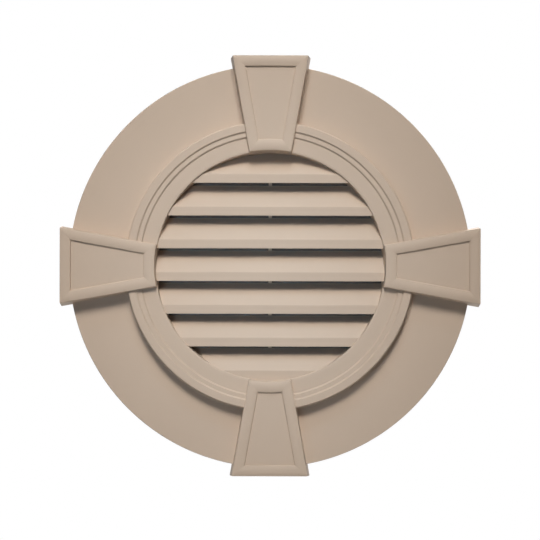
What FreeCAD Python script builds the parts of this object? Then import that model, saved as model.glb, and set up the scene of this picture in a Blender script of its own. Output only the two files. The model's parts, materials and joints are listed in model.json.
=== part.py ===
import FreeCAD, Part
import math
import os

from FreeCAD import Vector

# Round gable vent: one moulded body (disc, stepped ring, four keystones, fixed louvres) and the insect screen
# staked to its back. Millimetres, +Z up, front towards -Y. The origin is the centre of the opening on the wall
# plane. A depth is a distance from the wall plane towards the front.

# Front view
disc_diameter = 784.4
opening_diameter = 444.5
inner_band_width = 29.6
middle_band_width = 10.5
outer_band_width = 16.6

# Section of the disc and the ring
wall = 3.0
disc_depth = 28.0
disc_edge_draft = 1.0
edge_break = 1.2
ring_height = 28.0
band_step = 2.8
band_step_run = 2.0
ring_wall_run = 5.0
ring_cove_radius = 2.0
opening_draft = 2.0

# Keystones
keystone_count = 4
keystone_reach = 406.4
keystone_outer_width = 147.0
keystone_inner_width = 81.0
keystone_height = 34.4
keystone_draft = 6.2
keystone_setback = 1.2
rail_width = 20.3
rail_crown = 1.1
rail_sections = 4
panel_recess = 3.9
panel_draft = 0.6

# Louvres
blade_pitch = 63.5
blade_gap = 2.9
blade_wall = 2.5
blade_screen_gap = 10.0
lip_height = 17.2
lip_standing = 18.0
lip_edge_radius = 0.6
fold_radius = 2.0
bank_rise = 2.4
smallest_blade_share = 0.01
rib_width = 6.5
rib_bite = 1.0

# Ribs that stiffen the disc from behind
stiffeners_per_gap = 2
stiffener_wall = 2.5

# Screen and the stakes that hold it
screen_thickness = 0.6
stake_width = 4.0
stake_clearance = 0.2
stake_head_width = 8.0
stake_head_height = 1.2
stake_wall_gap = 1.2
pad_width = 10.0
pad_height = 12.0
collar_stakes = 8
rib_stakes = 3
rib_stake_pitch = 127.0

# Worked out from the driving dimensions
disc_radius = disc_diameter / 2
opening_radius = opening_diameter / 2
inner_step_radius = opening_radius + inner_band_width
outer_step_radius = inner_step_radius + middle_band_width
ring_radius = outer_step_radius + outer_band_width
outer_band_depth = disc_depth + ring_height
middle_band_depth = outer_band_depth - band_step
inner_band_depth = middle_band_depth - band_step
rail_edge_depth = disc_depth + keystone_height
rail_crest_depth = rail_edge_depth + rail_crown
panel_depth = rail_edge_depth - panel_recess
screen_seat_depth = stake_wall_gap + stake_head_height + screen_thickness
lip_depth = disc_depth + lip_standing
blade_rear_depth = screen_seat_depth + blade_screen_gap
blade_run = lip_depth - blade_rear_depth
blade_rise = blade_pitch - blade_gap
blade_count = math.ceil(opening_diameter / blade_pitch - smallest_blade_share)

# How far a cutting shape runs past the face that it cuts
spare = 1.0

vent_axis = Vector(0, 1, 0)
towards_front = Vector(0, -1, 0)


def section_point(radius, depth):
    """A point of a section that is turned about the vent's axis."""
    return Vector(radius, -depth, 0)


def side_point(depth, height):
    """A point of a section that runs across the vent."""
    return Vector(0, -depth, height)


def rounded_face(corners):
    """A flat face through (point, radius) corners, each rounded by its own radius."""
    arcs = []
    for i, (corner, radius) in enumerate(corners):
        to_last = (corners[i - 1][0] - corner).normalize()
        to_next = (corners[(i + 1) % len(corners)][0] - corner).normalize()
        half_angle = to_last.getAngle(to_next) / 2
        run = radius / math.tan(half_angle)
        middle = corner
        if radius > 0:
            inwards = (to_last + to_next).normalize()
            middle = corner + inwards * (radius / math.sin(half_angle) - radius)
        arcs.append((corner + to_last * run, middle, corner + to_next * run, radius))
    edges = []
    for i, (start, middle, end, radius) in enumerate(arcs):
        if radius > 0:
            edges.append(Part.Arc(start, middle, end).toShape())
        edges.append(Part.makeLine(end, arcs[(i + 1) % len(arcs)][0]))
    return Part.Face(Part.Wire(edges))


def turned(corners):
    """The solid that a section makes when it is turned about the vent's axis."""
    return rounded_face(corners).revolve(Vector(0, 0, 0), vent_axis, 360)


def opening_radius_at(depth):
    """The collar narrows towards the wall by the mould's draft."""
    narrowing = opening_draft / (inner_band_depth - screen_seat_depth)
    return opening_radius - narrowing * (inner_band_depth - depth)


def opening_cone(grow, back, front):
    """The space inside the collar between two depths, grown by an even amount."""
    start = opening_radius_at(back) + grow
    end = opening_radius_at(front) + grow
    return Part.makeCone(start, end, front - back, Vector(0, -back, 0), towards_front)


def disc_and_ring():
    """The disc with the stepped ring on it, as a full round of material."""
    return turned([
        (section_point(0, 0), 0),
        (section_point(0, inner_band_depth), 0),
        (section_point(inner_step_radius, inner_band_depth), 0),
        (section_point(inner_step_radius + band_step_run, middle_band_depth), 0),
        (section_point(outer_step_radius, middle_band_depth), 0),
        (section_point(outer_step_radius + band_step_run, outer_band_depth), 0),
        (section_point(ring_radius - edge_break, outer_band_depth), 0),
        (section_point(ring_radius, outer_band_depth - edge_break), 0),
        (section_point(ring_radius + ring_wall_run, disc_depth), ring_cove_radius),
        (section_point(disc_radius - edge_break, disc_depth), 0),
        (section_point(disc_radius, disc_depth - edge_break), 0),
        (section_point(disc_radius + disc_edge_draft, 0), 0),
    ])


def disc_and_ring_hollow():
    """The hollow behind the disc and the ring, one wall inside their faces."""
    return turned([
        (section_point(0, -spare), 0),
        (section_point(0, inner_band_depth - wall), 0),
        (section_point(inner_step_radius + wall, inner_band_depth - wall), 0),
        (section_point(inner_step_radius + wall, middle_band_depth - wall), 0),
        (section_point(outer_step_radius + wall, middle_band_depth - wall), 0),
        (section_point(outer_step_radius + wall, outer_band_depth - wall), 0),
        (section_point(ring_radius - wall, outer_band_depth - wall), 0),
        (section_point(ring_radius + ring_wall_run - wall, disc_depth - wall), 0),
        (section_point(disc_radius - wall, disc_depth - wall), 0),
        (section_point(disc_radius - wall + disc_edge_draft, -spare), 0),
    ])


def keystone_outline(inset, depth, inner_radius):
    """The top keystone's outline, moved inwards by an inset: straight sides and end, and a round inner end."""
    taper = (keystone_outer_width - keystone_inner_width) / 2 / (keystone_reach - opening_radius)
    slant = math.hypot(1, taper)
    start = keystone_inner_width / 2 - taper * opening_radius - inset * slant
    outer_height = keystone_reach - inset
    outer_half = start + taper * outer_height
    root = math.sqrt((inner_radius * slant) ** 2 - start ** 2)
    inner_height = (root - start * taper) / slant ** 2
    inner_half = start + taper * inner_height
    outer_left = Vector(-outer_half, -depth, outer_height)
    outer_right = Vector(outer_half, -depth, outer_height)
    inner_right = Vector(inner_half, -depth, inner_height)
    inner_left = Vector(-inner_half, -depth, inner_height)
    return Part.Wire([
        Part.makeLine(outer_left, outer_right),
        Part.makeLine(outer_right, inner_right),
        Part.Arc(inner_right, Vector(0, -depth, inner_radius), inner_left).toShape(),
        Part.makeLine(inner_left, outer_left),
    ])


def keystone_face_outline(inset, depth):
    """An outline on the keystone's face, with the same inset on the inner end."""
    inner_radius = opening_radius_at(rail_edge_depth) + keystone_setback + inset
    return keystone_outline(inset, depth, inner_radius)


def rail_outline(share):
    """An outline along the raised rail, at a share of the rail's width, on the arc of its crown."""
    radius = (rail_width ** 2 / 4 + rail_crown ** 2) / (2 * rail_crown)
    across = rail_width * (share - 0.5)
    rise = math.sqrt(radius ** 2 - across ** 2) - (radius - rail_crown)
    return keystone_face_outline(rail_width * share, rail_edge_depth + rise)


def keystone_tucked_radius():
    """The inner end's radius at the wall, inside the collar, so that the opening trims it flush."""
    return opening_radius_at(0) - wall


def keystone():
    """The top keystone as a full block: drafted sides, crowned rails and a recessed panel."""
    base = keystone_outline(-keystone_draft, 0, keystone_tucked_radius())
    rails = [rail_outline(i / rail_sections) for i in range(rail_sections + 1)]
    floor = keystone_face_outline(rail_width + panel_draft, panel_depth)
    skins = [
        Part.makeLoft([base, rails[0]], False, True),
        Part.makeLoft(rails, False, False),
        Part.makeLoft([rails[-1], floor], False, True),
    ]
    faces = [face for skin in skins for face in skin.Faces]
    faces.append(Part.Face(base))
    faces.append(Part.Face(floor))
    skin = Part.makeCompound(faces)
    skin.sewShape()
    return Part.Solid(skin.Shells[0])


def keystone_hollow():
    """The hollow behind the top keystone, one wall inside its sides, its rails and its panel."""
    base_inset = wall - keystone_draft * (1 + spare / rail_edge_depth)
    base = keystone_outline(base_inset, -spare, keystone_tucked_radius())
    top = keystone_outline(wall, rail_edge_depth - wall, keystone_tucked_radius())
    hollow = Part.makeLoft([base, top], True, True)
    panel_back = Part.Face(keystone_face_outline(rail_width - wall, panel_depth - wall))
    panel = panel_back.extrude(towards_front * (rail_crest_depth - panel_depth + wall))
    return hollow.cut(panel)


def around(shape, count):
    """Copies of a shape, evenly turned about the vent's axis."""
    copies = []
    for i in range(count):
        copy = shape.copy()
        copy.rotate(Vector(0, 0, 0), vent_axis, 360 * i / count)
        copies.append(copy)
    return copies


def shell():
    """The moulding's front skin: the full shape, less the opening and the hollow behind it."""
    full = disc_and_ring().fuse(around(keystone(), keystone_count))
    seat = Part.makeCylinder(ring_radius, spare + screen_seat_depth, vent_axis * spare, towards_front)
    full = full.cut([opening_cone(0, -spare, rail_crest_depth + spare), seat])
    hollow = disc_and_ring_hollow().fuse(around(keystone_hollow(), keystone_count))
    hollow = hollow.cut(opening_cone(wall, -2 * spare, rail_crest_depth + spare))
    return full.cut(hollow)


def blade(index):
    """One louvre: a slope that comes down towards the front and a lip that hangs from its fold."""
    lip_bottom = bank_rise + blade_pitch * (blade_count / 2 - 1 - index)
    top = lip_bottom + blade_rise
    fold = lip_bottom + lip_height
    if index == blade_count - 1:
        lip_bottom = min(lip_bottom, -opening_radius - wall)
    fall = (top - fold) / blade_run
    drop = blade_wall * math.hypot(1, fall)
    lip_back = lip_depth - blade_wall
    section = rounded_face([
        (side_point(blade_rear_depth, top), 0),
        (side_point(lip_depth, fold), fold_radius),
        (side_point(lip_depth, lip_bottom), lip_edge_radius),
        (side_point(lip_back, lip_bottom), lip_edge_radius),
        (side_point(lip_back, top - drop - fall * (lip_back - blade_rear_depth)), 0),
        (side_point(blade_rear_depth, top - drop), 0),
    ])
    section.translate(Vector(-opening_radius - wall, 0, 0))
    return section.extrude(Vector(opening_diameter + 2 * wall, 0, 0))


def centre_rib():
    """The upright rib that ties the rear edges of the blades together."""
    depth = blade_rear_depth + rib_bite - screen_seat_depth
    corner = Vector(-rib_width / 2, -screen_seat_depth - depth, -opening_radius - wall)
    return Part.makeBox(rib_width, depth, opening_diameter + 2 * wall, corner)


def louvres():
    """The blades and their rib, ending inside the collar's wall."""
    ends = opening_cone(wall / 2, -spare, inner_band_depth)
    return [piece.common(ends) for piece in [blade(i) for i in range(blade_count)] + [centre_rib()]]


def stiffeners():
    """Radial ribs behind the disc, from the collar to the rim, spread over each gap between two keystones."""
    inner = opening_radius_at(screen_seat_depth) + wall / 2
    outer = disc_radius - wall / 2
    front = disc_depth - wall / 2
    corner = Vector(-stiffener_wall / 2, -front, inner)
    upright = Part.makeBox(stiffener_wall, front - screen_seat_depth, outer - inner, corner)
    ribs = []
    for i in range(stiffeners_per_gap):
        rib = upright.copy()
        rib.rotate(Vector(0, 0, 0), vent_axis, 360 / keystone_count * (i + 1) / (stiffeners_per_gap + 1))
        ribs += around(rib, keystone_count)
    return ribs


def pad_circle_radius():
    """The pads for the collar's stakes stand half inside its wall."""
    return opening_radius_at(screen_seat_depth) + (wall + pad_width) / 2


def stake_places():
    """Where the stakes stand, as a radius and a turn about the vent's axis: the collar's, then the rib's."""
    collar = [(pad_circle_radius(), 360 * (i + 0.5) / collar_stakes) for i in range(collar_stakes)]
    rib = [(rib_stake_pitch * (i - (rib_stakes - 1) / 2), 0) for i in range(rib_stakes)]
    return collar + rib


def square_peg(place, width, back, front):
    """A square block at a stake's place, between two depths."""
    radius, turn = place
    corner = Vector(-width / 2, -front, radius - width / 2)
    peg = Part.makeBox(width, front - back, width, corner)
    peg.rotate(Vector(0, 0, 0), vent_axis, turn)
    return peg


def pads():
    """Short pillars on the outside of the collar, which carry the stakes there."""
    opening = opening_cone(0, 0, rail_crest_depth)
    top = screen_seat_depth + pad_height
    return [
        square_peg(place, pad_width, screen_seat_depth, top).cut(opening)
        for place in stake_places()[:collar_stakes]
    ]


def stakes():
    """Posts through the screen, each melted over into a flat head behind it."""
    head_front = screen_seat_depth - screen_thickness
    head_back = head_front - stake_head_height
    posts = []
    for place in stake_places():
        posts.append(square_peg(place, stake_width, head_back, screen_seat_depth + spare))
        posts.append(square_peg(place, stake_head_width, head_back, head_front))
    return posts


def vent_body():
    """The whole moulding."""
    return shell().fuse(louvres() + stiffeners() + pads() + stakes()).removeSplitter()


def insect_screen():
    """A thin round sheet against the seat, with a hole for each stake."""
    back = screen_seat_depth - screen_thickness
    radius = pad_circle_radius() + pad_width / 2
    sheet = Part.makeCylinder(radius, screen_thickness, Vector(0, -back, 0), towards_front)
    hole_width = stake_width + 2 * stake_clearance
    holes = [
        square_peg(place, hole_width, back - spare, screen_seat_depth + spare)
        for place in stake_places()
    ]
    return sheet.cut(holes)


def write_parts():
    os.makedirs("parts", exist_ok=True)
    vent_body().exportStep("parts/vent_body.step")
    insect_screen().exportStep("parts/insect_screen.step")


write_parts()
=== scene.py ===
import bmesh
import bpy
import json
import math
from mathutils import Matrix, Vector

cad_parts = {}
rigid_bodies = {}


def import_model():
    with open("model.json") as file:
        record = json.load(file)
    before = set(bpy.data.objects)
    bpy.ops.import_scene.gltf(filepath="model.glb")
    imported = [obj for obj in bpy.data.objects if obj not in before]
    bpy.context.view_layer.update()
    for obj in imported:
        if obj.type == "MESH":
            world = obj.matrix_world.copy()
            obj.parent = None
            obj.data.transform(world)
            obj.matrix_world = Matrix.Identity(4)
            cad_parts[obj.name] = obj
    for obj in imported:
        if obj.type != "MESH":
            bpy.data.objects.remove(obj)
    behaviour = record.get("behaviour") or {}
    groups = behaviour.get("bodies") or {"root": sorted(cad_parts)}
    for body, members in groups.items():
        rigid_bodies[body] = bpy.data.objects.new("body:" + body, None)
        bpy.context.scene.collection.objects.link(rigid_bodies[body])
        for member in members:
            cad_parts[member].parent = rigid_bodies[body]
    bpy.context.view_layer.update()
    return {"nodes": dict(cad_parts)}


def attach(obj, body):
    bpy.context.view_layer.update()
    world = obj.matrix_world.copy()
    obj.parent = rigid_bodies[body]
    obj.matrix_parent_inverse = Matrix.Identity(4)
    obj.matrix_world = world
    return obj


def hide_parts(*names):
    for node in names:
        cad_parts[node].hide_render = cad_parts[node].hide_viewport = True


mm = 0.001

# The moulding's front view. Radii are from the vent's axis, and a depth is a distance from the wall plane
# towards the front.
DISC_RADIUS = 392.2 * mm
OPENING_RADIUS = 222.25 * mm
INNER_BAND_WIDTH = 28.6 * mm
MIDDLE_BAND_WIDTH = 10.5 * mm
OUTER_BAND_WIDTH = 17.6 * mm

# Section of the disc and the ring
WALL = 3.0 * mm
DISC_DEPTH = 28.0 * mm
DISC_EDGE_DRAFT = 1.0 * mm
RING_HEIGHT = 28.0 * mm
BAND_STEP = 3.0 * mm
BAND_STEP_RUN = 3.0 * mm
RING_WALL_RUN = 2.6 * mm
RING_COVE_RADIUS = 2.0 * mm
OPENING_DRAFT = 2.0 * mm
EDGE_ROUND = 1.4 * mm
SHOULDER_ROUND = 2.4 * mm
ROLL_RUN = 3.25 * mm
ROLL_DROP = 0.9 * mm
ROLL_ROUND = 13.0 * mm
STEP_ROUND = 0.3 * mm
INSIDE_ROUND = 0.6 * mm

# Keystones
KEYSTONE_COUNT = 4
KEYSTONE_REACH = 406.4 * mm
KEYSTONE_OUTER_WIDTH = 147.0 * mm
KEYSTONE_INNER_WIDTH = 81.0 * mm
KEYSTONE_HEIGHT = 34.0 * mm
KEYSTONE_DRAFT = 4.4 * mm
KEYSTONE_SETBACK = 1.2 * mm
KEYSTONE_CORNER = 1.6 * mm
MITRE_ROUND = 0.2 * mm
RAIL_WIDTH = 20.3 * mm
RAIL_CROWN = 1.5 * mm
RAIL_STEPS = 10
RAIL_EDGE_ROUND = 0.7 * mm
PANEL_RECESS = 3.7 * mm
PANEL_DRAFT = 0.8 * mm
PANEL_ROUND = 0.25 * mm

# Louvres
BLADE_COUNT = 7
BLADE_PITCH = 63.5 * mm
BLADE_GAP = 2.9 * mm
BLADE_WALL = 2.5 * mm
BLADE_REAR_DEPTH = 13.0 * mm
LIP_DEPTH = 45.4 * mm
LIP_HEIGHT = 17.2 * mm
LIP_EDGE_ROUND = 0.5 * mm
FOLD_ROUND = 3.0 * mm
BANK_RISE = 2.4 * mm
RIB_WIDTH = 6.5 * mm
RIB_BITE = 1.0 * mm

# Back of the moulding
STIFFENERS_PER_GAP = 2
STIFFENER_WALL = 2.5 * mm
SCREEN_SEAT_DEPTH = 3.0 * mm
SCREEN_THICKNESS = 0.6 * mm
STAKE_WIDTH = 4.0 * mm
STAKE_HEAD_WIDTH = 8.0 * mm
STAKE_HEAD_HEIGHT = 1.2 * mm
PAD_WIDTH = 10.0 * mm
PAD_HEIGHT = 12.0 * mm
COLLAR_STAKES = 8
RIB_STAKES = 3
RIB_STAKE_PITCH = 127.0 * mm
SPARE = 1.0 * mm

# Fineness of the meshes
TURN_STEPS = 360
ARC_STEP = math.radians(15)
CORNER_STEPS = 4
INNER_END_STEPS = 24
SHARP_ANGLE = math.radians(32)
SPECK = 0.01 * mm

# Camera: square on to the wall, a little below the vent's centre
CAMERA_DISTANCE = 3.36
CAMERA_HEIGHT = -0.10
LENS = 113.9
SENSOR_WIDTH = 36.0
SHIFT_UP = 0.0881
CAMERA_ROLL = -0.15

# Studio light: where each lamp stands, what it faces and how wide its cone is. Angles are in degrees.
KEY_DISTANCE = 4.4
KEY_WIDTH = 1.95
KEY_ELEVATION = 38.8
KEY_AZIMUTH = -2.0
KEY_SPREAD = 28.5
KEY_AIM = Vector((-0.1, 0.0, 0.11))
KEY_POWER = 8.65
KEY_COLOR = (1.0, 0.95, 0.89)
FILL_DISTANCE = 5.0
FILL_WIDTH = 0.7
FILL_ELEVATION = -1.5
FILL_AZIMUTH = -20.0
FILL_SPREAD = 10.0
FILL_AIM = Vector((-0.02, 0.0, 0.03))
FILL_POWER = 0.21
TOP_DISTANCE = 3.0
TOP_WIDTH = 0.5
TOP_ELEVATION = 58.0
TOP_AZIMUTH = 0.0
TOP_SPREAD = 14.0
TOP_AIM = Vector((0.0, 0.0, -0.19))
TOP_POWER = 0.19
BACK_DISTANCE = 4.0
BACK_WIDTH = 2.5
BACK_ELEVATION = 35.0
BACK_AZIMUTH = 155.0
BACK_SPREAD = 180.0
BACK_AIM = Vector((0.0, 0.0, 0.0))
BACK_POWER = 130.0
SKY_COLOR = (0.55, 0.78, 1.0)
AMBIENT_STRENGTH = 0.01
WHITE = (1.0, 1.0, 1.0)

# Floor: it starts to fade at the plain radius, and is white at its rim
FLOOR_HEIGHT = -1.0
FLOOR_RADIUS = 2.2
FLOOR_PLAIN_RADIUS = 0.5
FLOOR_WHITE_SHARE = 0.6
FLOOR_SIDES = 96

# Finishes, as linear colours. A grain is a number of specks to a metre.
TAN = (0.57, 0.453, 0.358)
MOTTLE = 0.025
MOTTLE_GRAIN = 14.0
MOTTLE_DETAIL = 6.0
STIPPLE_GRAIN = 900.0
STIPPLE_DETAIL = 2.0
STIPPLE_HEIGHT = 0.06 * mm
PLASTIC_ROUGHNESS = (0.5, 0.6)
PLASTIC_SPECULAR = 0.3
# Screen colours: the wires' own dark tone, made lighter and warmer as painted bounce light from the tan
# blades, and the holes painted dark as shade of the space behind the screen.
WIRE_TONE_AND_PAINTED_BOUNCE = (0.18, 0.145, 0.118)
HOLE_PAINTED_SHADE = (0.044, 0.037, 0.031)
WIRE_PITCH = 1.4 * mm
WAVE_RADIANS = 20.0
WIRE_HEIGHT = 0.08 * mm
WIRE_ROUGHNESS = 0.25
WEAR = 0.2
WEAR_GRAIN = 9.0
WEAR_DETAIL = 4.0
FLOOR_GREY = (0.85, 0.85, 0.85)
FLOOR_ROUGHNESS = 0.9

# Worked out from the sizes above
INNER_STEP_RADIUS = OPENING_RADIUS + INNER_BAND_WIDTH
OUTER_STEP_RADIUS = INNER_STEP_RADIUS + MIDDLE_BAND_WIDTH
RING_RADIUS = OUTER_STEP_RADIUS + OUTER_BAND_WIDTH
OUTER_BAND_DEPTH = DISC_DEPTH + RING_HEIGHT
MIDDLE_BAND_DEPTH = OUTER_BAND_DEPTH - BAND_STEP
INNER_BAND_DEPTH = MIDDLE_BAND_DEPTH - BAND_STEP
RAIL_EDGE_DEPTH = DISC_DEPTH + KEYSTONE_HEIGHT
RAIL_CREST_DEPTH = RAIL_EDGE_DEPTH + RAIL_CROWN
PANEL_DEPTH = RAIL_EDGE_DEPTH - PANEL_RECESS


def clear_scene():
    for obj in list(bpy.data.objects):
        bpy.data.objects.remove(obj)


def full_turn(count):
    """Even angles around a full turn."""
    return [2 * math.pi * i / count for i in range(count)]


def turn_about_axis(point, angle):
    """A point turned about the vent's axis, clockwise as seen from the front."""
    x, y, z = point
    return (x * math.cos(angle) + z * math.sin(angle), y, z * math.cos(angle) - x * math.sin(angle))


def rounded(corners, steps=None):
    """The points of a closed flat outline, each ((across, up), radius) corner rounded by its own radius."""
    points = []
    for i, (corner, radius) in enumerate(corners):
        here = Vector(corner)
        if radius == 0:
            points.append(here)
            continue
        to_last = (Vector(corners[i - 1][0]) - here).normalized()
        to_next = (Vector(corners[(i + 1) % len(corners)][0]) - here).normalized()
        half = to_last.angle(to_next) / 2
        centre = here + (to_last + to_next).normalized() * radius / math.sin(half)
        first = here + to_last * radius / math.tan(half) - centre
        last = here + to_next * radius / math.tan(half) - centre
        sweep = math.atan2(first.x * last.y - first.y * last.x, first.dot(last))
        count = steps or max(2, math.ceil(abs(sweep) / ARC_STEP))
        for k in range(count + 1):
            spoke = first.copy()
            spoke.rotate(Matrix.Rotation(sweep * k / count, 2))
            points.append(centre + spoke)
    return points


def mesh_object(name, bm):
    bmesh.ops.recalc_face_normals(bm, faces=bm.faces)
    mesh = bpy.data.meshes.new(name)
    bm.to_mesh(mesh)
    bm.free()
    obj = bpy.data.objects.new(name, mesh)
    bpy.context.scene.collection.objects.link(obj)
    return obj


def loft(name, rings, around=False):
    """A closed mesh over rings of points: joined into a loop, or with a cap at each end."""
    bm = bmesh.new()
    rows = [[bm.verts.new(point) for point in ring] for ring in rings]
    pairs = list(zip(rows, rows[1:]))
    if around:
        pairs.append((rows[-1], rows[0]))
    else:
        bm.faces.new(rows[0])
        bm.faces.new(rows[-1])
    for row, other in pairs:
        for i in range(len(row)):
            k = (i + 1) % len(row)
            bm.faces.new((row[i], row[k], other[k], other[i]))
    return mesh_object(name, bm)


def turned(name, corners):
    """A solid of revolution about the vent's axis, from a section of ((radius, depth), round) corners."""
    section = [(radius, -depth, 0) for radius, depth in rounded(corners)]
    rings = [[turn_about_axis(point, t) for point in section] for t in full_turn(TURN_STEPS)]
    return loft(name, rings, around=True)


def block(name, low, high, turn=0.0):
    """A box between two (across, depth, height) corners, turned about the vent's axis."""
    across = [(low[0], low[2]), (high[0], low[2]), (high[0], high[2]), (low[0], high[2])]
    rings = [[turn_about_axis((x, -depth, z), turn) for x, z in across] for depth in (low[1], high[1])]
    return loft(name, rings)


def combine(base, others, operation):
    """Unites, cuts or intersects closed meshes, and leaves only the result."""
    for other in others:
        modifier = base.modifiers.new(operation, "BOOLEAN")
        modifier.operation = operation
        modifier.solver = "MANIFOLD"
        modifier.object = other
    graph = bpy.context.evaluated_depsgraph_get()
    mesh = bpy.data.meshes.new_from_object(base.evaluated_get(graph))
    base.modifiers.clear()
    base.data = mesh
    for other in others:
        bpy.data.objects.remove(other)
    return base


def opening_radius_at(depth):
    """The collar narrows towards the wall by the mould's draft."""
    narrowing = OPENING_DRAFT / (INNER_BAND_DEPTH - SCREEN_SEAT_DEPTH)
    return OPENING_RADIUS - narrowing * (INNER_BAND_DEPTH - depth)


def opening_plug(name, grow, back, front):
    """The space inside the collar between two depths, grown by an even amount."""
    rings = []
    for depth in (back, front):
        radius = opening_radius_at(depth) + grow
        rings.append([turn_about_axis((0, -depth, radius), t) for t in full_turn(TURN_STEPS)])
    return loft(name, rings)


def disc_and_ring():
    """The disc, the stepped ring and the collar, as a full round of material with the opening through it."""
    return turned("disc_and_ring", [
        ((opening_radius_at(0), 0), 0),
        ((OPENING_RADIUS, INNER_BAND_DEPTH - ROLL_DROP), EDGE_ROUND),
        ((OPENING_RADIUS + ROLL_RUN, INNER_BAND_DEPTH), ROLL_ROUND),
        ((INNER_STEP_RADIUS, INNER_BAND_DEPTH), STEP_ROUND),
        ((INNER_STEP_RADIUS + BAND_STEP_RUN, MIDDLE_BAND_DEPTH), STEP_ROUND),
        ((OUTER_STEP_RADIUS, MIDDLE_BAND_DEPTH), STEP_ROUND),
        ((OUTER_STEP_RADIUS + BAND_STEP_RUN, OUTER_BAND_DEPTH), STEP_ROUND),
        ((RING_RADIUS, OUTER_BAND_DEPTH), SHOULDER_ROUND),
        ((RING_RADIUS + RING_WALL_RUN, DISC_DEPTH), RING_COVE_RADIUS),
        ((DISC_RADIUS, DISC_DEPTH), EDGE_ROUND),
        ((DISC_RADIUS + DISC_EDGE_DRAFT, 0), 0),
    ])


def disc_and_ring_hollow():
    """The hollow behind the disc and the ring, one wall inside their faces."""
    return turned("disc_and_ring_hollow", [
        ((opening_radius_at(-SPARE) + WALL, -SPARE), 0),
        ((opening_radius_at(INNER_BAND_DEPTH - WALL) + WALL, INNER_BAND_DEPTH - WALL), INSIDE_ROUND),
        ((INNER_STEP_RADIUS + WALL, INNER_BAND_DEPTH - WALL), INSIDE_ROUND),
        ((INNER_STEP_RADIUS + WALL, MIDDLE_BAND_DEPTH - WALL), INSIDE_ROUND),
        ((OUTER_STEP_RADIUS + WALL, MIDDLE_BAND_DEPTH - WALL), INSIDE_ROUND),
        ((OUTER_STEP_RADIUS + WALL, OUTER_BAND_DEPTH - WALL), INSIDE_ROUND),
        ((RING_RADIUS - WALL, OUTER_BAND_DEPTH - WALL), INSIDE_ROUND),
        ((RING_RADIUS + RING_WALL_RUN - WALL, DISC_DEPTH - WALL), INSIDE_ROUND),
        ((DISC_RADIUS - WALL, DISC_DEPTH - WALL), INSIDE_ROUND),
        ((DISC_RADIUS - WALL + DISC_EDGE_DRAFT, -SPARE), 0),
    ])


def keystone_outline(inset, depth, inner_radius):
    """The top keystone's outline at a depth: straight sides and end, a round inner end, rounded corners."""
    taper = (KEYSTONE_OUTER_WIDTH - KEYSTONE_INNER_WIDTH) / 2 / (KEYSTONE_REACH - OPENING_RADIUS)
    slant = math.hypot(1, taper)
    start = KEYSTONE_INNER_WIDTH / 2 - taper * OPENING_RADIUS - inset * slant
    outer_height = KEYSTONE_REACH - inset
    outer_half = start + taper * outer_height
    root = math.sqrt((inner_radius * slant) ** 2 - start ** 2)
    inner_height = (root - start * taper) / slant ** 2
    inner_half = start + taper * inner_height
    corner = max(KEYSTONE_CORNER - inset, MITRE_ROUND) if inset > 0 else KEYSTONE_CORNER
    half_turn = math.asin(inner_half / inner_radius)
    turns = [half_turn * (1 - 2 * i / INNER_END_STEPS) for i in range(1, INNER_END_STEPS)]
    corners = [
        ((-outer_half, outer_height), corner),
        ((outer_half, outer_height), corner),
        ((inner_half, inner_height), corner),
    ]
    corners += [((inner_radius * math.sin(t), inner_radius * math.cos(t)), 0) for t in turns]
    corners.append(((-inner_half, inner_height), corner))
    return [(point.x, -depth, point.y) for point in rounded(corners, CORNER_STEPS)]


def keystone_inner_radius(inset, depth):
    """The inner end leans from inside the collar at the wall to just behind the opening's edge in front."""
    tucked = opening_radius_at(0) - WALL
    face = opening_radius_at(RAIL_EDGE_DEPTH) + KEYSTONE_SETBACK
    if inset >= 0:
        return face + inset
    return tucked + (face - tucked) * depth / RAIL_EDGE_DEPTH


def rail_crown():
    """The rail's crowned face, as (inset, depth) points on an arc."""
    radius = (RAIL_WIDTH ** 2 / 4 + RAIL_CROWN ** 2) / (2 * RAIL_CROWN)
    points = []
    for i in range(1, RAIL_STEPS):
        across = RAIL_WIDTH * (i / RAIL_STEPS - 0.5)
        rise = math.sqrt(radius ** 2 - across ** 2) - (radius - RAIL_CROWN)
        points.append(((RAIL_WIDTH / 2 + across, RAIL_EDGE_DEPTH + rise), 0))
    return points


def keystone(name):
    """The top keystone as a full block: drafted sides, crowned rails and a recessed panel."""
    panel_edge = RAIL_WIDTH + PANEL_DRAFT
    section = rounded(
        [((-KEYSTONE_DRAFT, 0), 0), ((0, RAIL_EDGE_DEPTH), RAIL_EDGE_ROUND)]
        + rail_crown()
        + [
            ((RAIL_WIDTH, RAIL_EDGE_DEPTH), PANEL_ROUND),
            ((panel_edge, PANEL_DEPTH), PANEL_ROUND),
            ((panel_edge + 2 * PANEL_ROUND, PANEL_DEPTH), 0),
        ]
    )
    rings = []
    for inset, depth in section:
        rings.append(keystone_outline(inset, depth, keystone_inner_radius(inset, depth)))
    return loft(name, rings)


def keystone_hollow(name):
    """The hollow behind the top keystone, one wall inside its sides, its rails and its panel."""
    tucked = opening_radius_at(0) - WALL
    base_inset = WALL - KEYSTONE_DRAFT * (1 + SPARE / RAIL_EDGE_DEPTH)
    base = keystone_outline(base_inset, -SPARE, tucked)
    top = keystone_outline(WALL, RAIL_EDGE_DEPTH - WALL, tucked)
    hollow = loft(name, [base, top])
    back_inset = RAIL_WIDTH - WALL
    back_radius = keystone_inner_radius(back_inset, PANEL_DEPTH)
    depths = (PANEL_DEPTH - WALL, RAIL_CREST_DEPTH)
    panel = loft("panel_back", [keystone_outline(back_inset, depth, back_radius) for depth in depths])
    return combine(hollow, [panel], "DIFFERENCE")


def copies_around(make, name, plug):
    """Evenly turned copies of what a function makes, each cut free of the opening."""
    first = combine(make(name), [plug], "DIFFERENCE")
    copies = [first]
    for turn in full_turn(KEYSTONE_COUNT)[1:]:
        copy = bpy.data.objects.new(name, first.data.copy())
        copy.data.transform(Matrix.Rotation(turn, 4, "Y"))
        bpy.context.scene.collection.objects.link(copy)
        copies.append(copy)
    return copies


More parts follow.
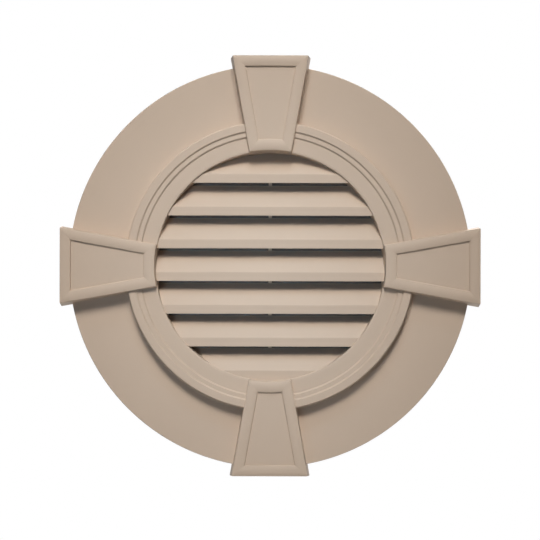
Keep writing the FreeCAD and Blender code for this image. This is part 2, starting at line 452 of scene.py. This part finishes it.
def blade(index):
    """One louvre: a slope that comes down towards the front and a lip that hangs from its fold."""
    lip_bottom = BANK_RISE + BLADE_PITCH * (BLADE_COUNT / 2 - 1 - index)
    top = lip_bottom + BLADE_PITCH - BLADE_GAP
    fold = lip_bottom + LIP_HEIGHT
    if index == BLADE_COUNT - 1:
        lip_bottom = -OPENING_RADIUS - WALL
    fall = (top - fold) / (LIP_DEPTH - BLADE_REAR_DEPTH)
    drop = BLADE_WALL * math.hypot(1, fall)
    lip_back = LIP_DEPTH - BLADE_WALL
    section = rounded([
        ((BLADE_REAR_DEPTH, top), 0),
        ((LIP_DEPTH, fold), FOLD_ROUND),
        ((LIP_DEPTH, lip_bottom), LIP_EDGE_ROUND),
        ((lip_back, lip_bottom), LIP_EDGE_ROUND),
        ((lip_back, top - drop - fall * (lip_back - BLADE_REAR_DEPTH)), INSIDE_ROUND),
        ((BLADE_REAR_DEPTH, top - drop), 0),
    ])
    reach = OPENING_RADIUS + WALL
    return loft("blade", [[(x, -depth, height) for depth, height in section] for x in (-reach, reach)])


def louvres():
    """The blades and the upright rib behind them, ending inside the collar's wall."""
    reach = OPENING_RADIUS + WALL
    front = BLADE_REAR_DEPTH + RIB_BITE
    rib = block("rib", (-RIB_WIDTH / 2, SCREEN_SEAT_DEPTH, -reach), (RIB_WIDTH / 2, front, reach))
    pieces = [blade(i) for i in range(BLADE_COUNT)] + [rib]
    ends = [opening_plug("ends", WALL / 2, -SPARE, INNER_BAND_DEPTH - WALL) for piece in pieces]
    return [combine(piece, [end], "INTERSECT") for piece, end in zip(pieces, ends)]


def stiffeners():
    """Radial ribs behind the disc, from the collar to the rim, spread over each gap between two keystones."""
    inner = opening_radius_at(SCREEN_SEAT_DEPTH) + WALL / 2
    outer = DISC_RADIUS - WALL / 2
    front = DISC_DEPTH - WALL / 2
    low = (-STIFFENER_WALL / 2, SCREEN_SEAT_DEPTH, inner)
    high = (STIFFENER_WALL / 2, front, outer)
    gap = 2 * math.pi / KEYSTONE_COUNT
    ribs = []
    for k in range(KEYSTONE_COUNT):
        for i in range(STIFFENERS_PER_GAP):
            ribs.append(block("stiffener", low, high, gap * (k + (i + 1) / (STIFFENERS_PER_GAP + 1))))
    return ribs


def stake_places():
    """Where the stakes stand, as a radius and a turn about the vent's axis: the collar's, then the rib's."""
    radius = opening_radius_at(SCREEN_SEAT_DEPTH) + (WALL + PAD_WIDTH) / 2
    collar = [(radius, 2 * math.pi * (i + 0.5) / COLLAR_STAKES) for i in range(COLLAR_STAKES)]
    rib = [(RIB_STAKE_PITCH * (i - (RIB_STAKES - 1) / 2), 0) for i in range(RIB_STAKES)]
    return collar + rib


def peg(name, place, width, back, front):
    radius, turn = place
    low = (-width / 2, back, radius - width / 2)
    high = (width / 2, front, radius + width / 2)
    return block(name, low, high, turn)


def pads():
    """Short pillars on the outside of the collar, which carry the stakes there."""
    pillars = []
    for place in stake_places()[:COLLAR_STAKES]:
        pillar = peg("pad", place, PAD_WIDTH, SCREEN_SEAT_DEPTH, SCREEN_SEAT_DEPTH + PAD_HEIGHT)
        plug = opening_plug("plug", 0, -SPARE, RAIL_CREST_DEPTH)
        pillars.append(combine(pillar, [plug], "DIFFERENCE"))
    return pillars


def stakes():
    """Posts through the screen, each melted over into a flat head behind it."""
    head_front = SCREEN_SEAT_DEPTH - SCREEN_THICKNESS
    head_back = head_front - STAKE_HEAD_HEIGHT
    posts = []
    for place in stake_places():
        posts.append(peg("post", place, STAKE_WIDTH, head_back, SCREEN_SEAT_DEPTH + SPARE))
        posts.append(peg("head", place, STAKE_HEAD_WIDTH, head_back, head_front))
    return posts


def without_slivers(obj):
    """Merges the specks that cutting leaves where two outlines nearly meet."""
    bm = bmesh.new()
    bm.from_mesh(obj.data)
    bmesh.ops.remove_doubles(bm, verts=bm.verts, dist=SPECK)
    bmesh.ops.dissolve_degenerate(bm, edges=bm.edges, dist=SPECK)
    bm.to_mesh(obj.data)
    bm.free()


def smooth_with_sharp_edges(obj):
    """Smooth faces that stay crisp at real edges, with flat faces kept flat beside small rounds."""
    for face in obj.data.polygons:
        face.use_smooth = True
    obj.data.set_sharp_from_angle(angle=SHARP_ANGLE)
    weighted = obj.modifiers.new("flat_faces", "WEIGHTED_NORMAL")
    weighted.keep_sharp = True


def moulded_body():
    """The whole moulding as one closed mesh."""
    front = RAIL_CREST_DEPTH + SPARE
    keystones = copies_around(keystone, "keystone", opening_plug("plug", 0, -SPARE, front))
    body = combine(disc_and_ring(), keystones, "UNION")
    hollows = copies_around(keystone_hollow, "hollow", opening_plug("plug", WALL, -2 * SPARE, front))
    hollow = combine(disc_and_ring_hollow(), hollows, "UNION")
    seat = opening_plug("seat", RING_RADIUS - OPENING_RADIUS, -SPARE, SCREEN_SEAT_DEPTH)
    body = combine(body, [hollow, seat], "DIFFERENCE")
    body = combine(body, louvres() + stiffeners() + pads() + stakes(), "UNION")
    body.name = "moulded_body"
    without_slivers(body)
    smooth_with_sharp_edges(body)
    paint(body, tan_plastic())
    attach(body, "root")
    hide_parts("vent_body")
    return body


def new_material(name):
    material = bpy.data.materials.new(name)
    material.use_nodes = True
    nodes = material.node_tree.nodes
    return material, nodes, material.node_tree.links, nodes["Principled BSDF"]


def paint(obj, material):
    """One material on the whole of a mesh."""
    obj.data.materials.clear()
    obj.data.materials.append(material)
    for face in obj.data.polygons:
        face.material_index = 0


def add_noise(nodes, links, place, grain, detail):
    """Soft specks through the object, with a number of them to a metre."""
    noise = nodes.new("ShaderNodeTexNoise")
    noise.inputs["Scale"].default_value = grain
    noise.inputs["Detail"].default_value = detail
    links.new(place.outputs["Object"], noise.inputs["Vector"])
    return noise.outputs["Fac"]


def add_range(nodes, links, value, low, high):
    """A value from 0 to 1 stretched between two limits."""
    stretch = nodes.new("ShaderNodeMapRange")
    stretch.inputs["To Min"].default_value = low
    stretch.inputs["To Max"].default_value = high
    links.new(value, stretch.inputs["Value"])
    return stretch.outputs["Result"]


def add_blend(nodes, links, value, first, second):
    """A colour that runs from one to another as a value goes from 0 to 1. The second may be a socket."""
    blend = nodes.new("ShaderNodeMix")
    blend.data_type = "RGBA"
    blend.inputs["A"].default_value = (*first, 1)
    if isinstance(second, bpy.types.NodeSocket):
        links.new(second, blend.inputs["B"])
    else:
        blend.inputs["B"].default_value = (*second, 1)
    links.new(value, blend.inputs["Factor"])
    return blend.outputs["Result"]


def add_shades(nodes, links, value, color, share):
    """A colour that is a share deeper to a share paler than the one given, as a value goes from 0 to 1."""
    deep = [part * (1 - share) for part in color]
    pale = [part * (1 + share) for part in color]
    return add_blend(nodes, links, value, deep, pale)


def add_bump(nodes, links, shader, value, height):
    bump = nodes.new("ShaderNodeBump")
    bump.inputs["Distance"].default_value = height
    links.new(value, bump.inputs["Height"])
    links.new(bump.outputs["Normal"], shader.inputs["Normal"])


def tan_plastic():
    """Matt moulded plastic: a faint mottle in its colour, uneven gloss and a fine stipple from the mould."""
    material, nodes, links, shader = new_material("tan_moulded_plastic")
    place = nodes.new("ShaderNodeTexCoord")
    mottle = add_noise(nodes, links, place, MOTTLE_GRAIN, MOTTLE_DETAIL)
    links.new(add_shades(nodes, links, mottle, TAN, MOTTLE), shader.inputs["Base Color"])
    stipple = add_noise(nodes, links, place, STIPPLE_GRAIN, STIPPLE_DETAIL)
    links.new(add_range(nodes, links, stipple, *PLASTIC_ROUGHNESS), shader.inputs["Roughness"])
    shader.inputs["Specular IOR Level"].default_value = PLASTIC_SPECULAR
    add_bump(nodes, links, shader, stipple, STIPPLE_HEIGHT)
    return material


def add_wires(nodes, links, place, direction):
    """Even wires that lie side by side in one direction, as a height from 0 to 1.

    At a scale of 1, Blender's wave turns through WAVE_RADIANS in each metre.
    """
    wires = nodes.new("ShaderNodeTexWave")
    wires.wave_type = "BANDS"
    wires.bands_direction = direction
    wires.inputs["Scale"].default_value = 2 * math.pi / (WAVE_RADIANS * WIRE_PITCH)
    links.new(place.outputs["Object"], wires.inputs["Vector"])
    return wires.outputs["Fac"]


def screen_cloth():
    """Dark insect screen: two sets of unevenly dulled wires across each other, with holes between. The holes
    are painted dark as shade of the space behind, and both colours are lighter and warmer than charcoal as
    painted bounce light in the slots.
    """
    material, nodes, links, shader = new_material("screen_cloth_painted_shade")
    place = nodes.new("ShaderNodeTexCoord")
    weave = nodes.new("ShaderNodeMath")
    weave.operation = "MAXIMUM"
    links.new(add_wires(nodes, links, place, "X"), weave.inputs[0])
    links.new(add_wires(nodes, links, place, "Z"), weave.inputs[1])
    wear = add_noise(nodes, links, place, WEAR_GRAIN, WEAR_DETAIL)
    wire = add_shades(nodes, links, wear, WIRE_TONE_AND_PAINTED_BOUNCE, WEAR)
    # The holes between the wires take the painted shade colour.
    links.new(add_blend(nodes, links, weave.outputs[0], HOLE_PAINTED_SHADE, wire), shader.inputs["Base Color"])
    shader.inputs["Roughness"].default_value = WIRE_ROUGHNESS
    add_bump(nodes, links, shader, weave.outputs[0], WIRE_HEIGHT)
    return material


def light_direction(azimuth, elevation):
    """From the object to a lamp: azimuth 0 is straight in front, and positive to the right."""
    across = math.radians(azimuth)
    up = math.radians(elevation)
    return Vector((math.sin(across) * math.cos(up), -math.cos(across) * math.cos(up), math.sin(up)))


def add_lamp(name, direction, distance, width, power, color, aim, spread):
    """A round softbox in a direction from the vent's centre, facing a point, with its light in a cone."""
    data = bpy.data.lights.new(name, "AREA")
    data.shape = "DISK"
    data.size = width
    data.energy = power
    data.color = color
    data.spread = math.radians(spread)
    lamp = bpy.data.objects.new(name, data)
    lamp.location = direction * distance
    lamp.rotation_euler = (lamp.location - aim).to_track_quat("Z", "Y").to_euler()
    bpy.context.scene.collection.objects.link(lamp)


def add_lamps():
    """A warm key from above, a cool fill from the front, a cool lamp overhead and a wide softbox behind."""
    above = light_direction(KEY_AZIMUTH, KEY_ELEVATION)
    add_lamp("key", above, KEY_DISTANCE, KEY_WIDTH, KEY_POWER, KEY_COLOR, KEY_AIM, KEY_SPREAD)
    front = light_direction(FILL_AZIMUTH, FILL_ELEVATION)
    add_lamp("fill", front, FILL_DISTANCE, FILL_WIDTH, FILL_POWER, SKY_COLOR, FILL_AIM, FILL_SPREAD)
    overhead = light_direction(TOP_AZIMUTH, TOP_ELEVATION)
    add_lamp("overhead", overhead, TOP_DISTANCE, TOP_WIDTH, TOP_POWER, SKY_COLOR, TOP_AIM, TOP_SPREAD)
    behind = light_direction(BACK_AZIMUTH, BACK_ELEVATION)
    add_lamp("back", behind, BACK_DISTANCE, BACK_WIDTH, BACK_POWER, KEY_COLOR, BACK_AIM, BACK_SPREAD)


def seen_directly(nodes, links):
    """1 for what the camera sees, also by reflection or through glass, and 0 for light on other ways."""
    path = nodes.new("ShaderNodeLightPath")
    seen = path.outputs["Is Camera Ray"]
    for ray in ("Is Glossy Ray", "Is Transmission Ray"):
        either = nodes.new("ShaderNodeMath")
        either.operation = "MAXIMUM"
        links.new(seen, either.inputs[0])
        links.new(path.outputs[ray], either.inputs[1])
        seen = either.outputs[0]
    return seen


def add_world():
    """Dim light all round, and plain white where the camera or a reflection sees the background."""
    world = bpy.data.worlds.new("studio")
    world.use_nodes = True
    bpy.context.scene.world = world
    nodes = world.node_tree.nodes
    links = world.node_tree.links
    ambient = nodes["Background"]
    ambient.inputs["Color"].default_value = (*SKY_COLOR, 1)
    ambient.inputs["Strength"].default_value = AMBIENT_STRENGTH
    white = nodes.new("ShaderNodeBackground")
    white.inputs["Color"].default_value = (*WHITE, 1)
    white.inputs["Strength"].default_value = 1.0
    mix = nodes.new("ShaderNodeMixShader")
    links.new(seen_directly(nodes, links), mix.inputs["Fac"])
    links.new(ambient.outputs[0], mix.inputs[1])
    links.new(white.outputs[0], mix.inputs[2])
    links.new(mix.outputs[0], nodes["World Output"].inputs["Surface"])


def pale_floor():
    """Plain pale floor that takes the vent's shadow, and fades into the white background towards its rim."""
    material, nodes, links, shader = new_material("pale_floor")
    shader.inputs["Base Color"].default_value = (*FLOOR_GREY, 1)
    shader.inputs["Roughness"].default_value = FLOOR_ROUGHNESS
    place = nodes.new("ShaderNodeTexCoord")
    distance = nodes.new("ShaderNodeVectorMath")
    distance.operation = "LENGTH"
    links.new(place.outputs["Object"], distance.inputs[0])
    fade = nodes.new("ShaderNodeMapRange")
    fade.interpolation_type = "SMOOTHSTEP"
    fade.inputs["From Min"].default_value = FLOOR_PLAIN_RADIUS
    fade.inputs["From Max"].default_value = FLOOR_RADIUS
    fade.inputs["To Min"].default_value = FLOOR_WHITE_SHARE
    links.new(distance.outputs["Value"], fade.inputs["Value"])
    share = nodes.new("ShaderNodeMath")
    share.operation = "MULTIPLY"
    links.new(fade.outputs["Result"], share.inputs[0])
    links.new(seen_directly(nodes, links), share.inputs[1])
    white = nodes.new("ShaderNodeEmission")
    mix = nodes.new("ShaderNodeMixShader")
    links.new(share.outputs[0], mix.inputs["Fac"])
    links.new(shader.outputs[0], mix.inputs[1])
    links.new(white.outputs[0], mix.inputs[2])
    links.new(mix.outputs[0], nodes["Material Output"].inputs["Surface"])
    return material


def add_floor():
    mesh = bpy.data.meshes.new("floor")
    turns = full_turn(FLOOR_SIDES)
    corners = [(FLOOR_RADIUS * math.cos(t), FLOOR_RADIUS * math.sin(t), 0) for t in turns]
    mesh.from_pydata(corners, [], [list(range(FLOOR_SIDES))])
    mesh.materials.append(pale_floor())
    floor = bpy.data.objects.new("floor", mesh)
    floor.location.z = FLOOR_HEIGHT
    bpy.context.scene.collection.objects.link(floor)


def add_camera():
    data = bpy.data.cameras.new("camera")
    data.lens = LENS
    data.sensor_width = SENSOR_WIDTH
    data.shift_y = SHIFT_UP
    camera = bpy.data.objects.new("camera", data)
    camera.location = (0, -CAMERA_DISTANCE, CAMERA_HEIGHT)
    camera.rotation_euler = (math.radians(90), math.radians(CAMERA_ROLL), 0)
    bpy.context.scene.collection.objects.link(camera)
    bpy.context.scene.camera = camera


clear_scene()
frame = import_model()
moulded_body()
frame["nodes"]["insect_screen"].data.materials[0] = screen_cloth()
add_floor()
add_world()
add_lamps()
add_camera()
bpy.context.scene.view_settings.view_transform = "Standard"
